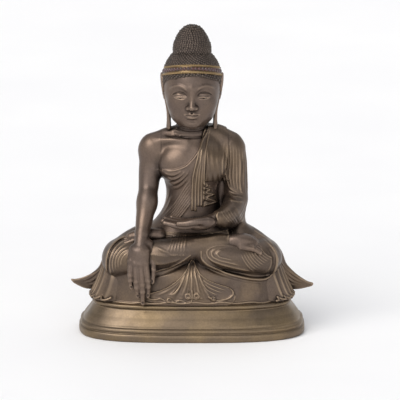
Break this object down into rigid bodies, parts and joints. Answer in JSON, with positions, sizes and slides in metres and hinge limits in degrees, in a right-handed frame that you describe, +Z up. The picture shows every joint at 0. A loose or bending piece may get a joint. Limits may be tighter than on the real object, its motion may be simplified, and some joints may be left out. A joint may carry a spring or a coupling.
{
  "type": "buddha statue",
  "caption": "Seated bronze Buddha with crossed legs, one hand touching the earth, long ears, beaded headband and flaring robe, on an oval moulded plinth.",
  "frame": {"origin": "middle of the plinth's foot, on the surface it stands on", "axes": "+Z up, the figure faces -Y, +X towards its left-hand side"},
  "size_m": [0.348, 0.172, 0.45],
  "materials": {
    "skin_bronze": "satin brown patina over bronze",
    "robe_bronze": "satin brown patina, worn brighter on the folds",
    "hair_bronze": "dark patina over fine grain",
    "plinth_bronze": "satin brown patina, slightly brassy on the flank",
    "gilt_band": "worn gilding",
    "red_glass": "dark red, polished, backed",
    "eye_inlay": "polished inlay",
    "pin_bronze": "as cast"
  },
  "bodies": {
    "root": {"plinth": "plinth_bronze", "seat_and_crossed_legs": "robe_bronze", "torso": "skin_bronze", "right_arm": "skin_bronze", "left_arm": "robe_bronze", "right_hand": "skin_bronze", "left_hand": "skin_bronze", "right_foot": "skin_bronze", "left_foot": "skin_bronze", "robe_wing_right": "robe_bronze", "robe_wing_left": "robe_bronze", "robe_pleats_right": "robe_bronze", "robe_pleats_left": "robe_bronze", "front_robe_fan": "robe_bronze", "shoulder_shawl": "robe_bronze", "pleated_sash": "robe_bronze", "head": "skin_bronze", "hair_cap": "hair_bronze", "topknot": "hair_bronze", "headband": "gilt_band", "headband_glass_strip": "red_glass", "headband_lower_bead_wire": "gilt_band", "headband_upper_bead_wire": "gilt_band", "right_ear": "skin_bronze", "left_ear": "skin_bronze", "right_eye_inlay": "eye_inlay", "left_eye_inlay": "eye_inlay", "waist_pin_right": "pin_bronze", "waist_pin_left": "pin_bronze", "neck_dowel_right": "pin_bronze", "neck_dowel_left": "pin_bronze", "right_shoulder_dowel": "pin_bronze", "left_shoulder_dowel": "pin_bronze", "right_wrist_dowel": "pin_bronze", "left_wrist_dowel": "pin_bronze", "right_foot_dowel": "pin_bronze", "left_foot_dowel": "pin_bronze", "right_wing_dowel": "pin_bronze", "left_wing_dowel": "pin_bronze", "right_pleats_dowel": "pin_bronze", "left_pleats_dowel": "pin_bronze", "front_fan_dowel": "pin_bronze", "lug_key_1": "pin_bronze", "lug_key_2": "pin_bronze", "lug_key_3": "pin_bronze", "lug_key_4": "pin_bronze"}
  },
  "joints": []
}
